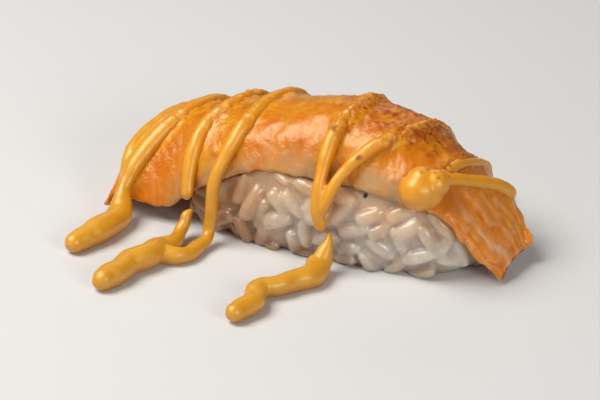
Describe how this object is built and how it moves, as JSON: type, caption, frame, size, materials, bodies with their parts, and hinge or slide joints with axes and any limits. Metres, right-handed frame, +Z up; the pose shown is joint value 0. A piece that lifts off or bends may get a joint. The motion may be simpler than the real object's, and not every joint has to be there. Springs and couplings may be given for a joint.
{
  "type": "nigiri sushi",
  "caption": "Hand-pressed rice block under a draped slice of torched salmon, with a thick sauce drizzled across it and trailing onto the table.",
  "frame": {"origin": "middle of the rice block's flat base", "axes": "+X along the block towards the pointed flap of the slice, +Y away from the side that shows, +Z up"},
  "size_m": [0.0857, 0.0751, 0.0305],
  "materials": {
    "rice": "moist cooked rice grains, slightly translucent, satin",
    "salmon": "oily torched salmon with orange-yellow sauce strands, glossy"
  },
  "bodies": {
    "root": {"rice": "rice", "salmon": "salmon"}
  },
  "joints": []
}
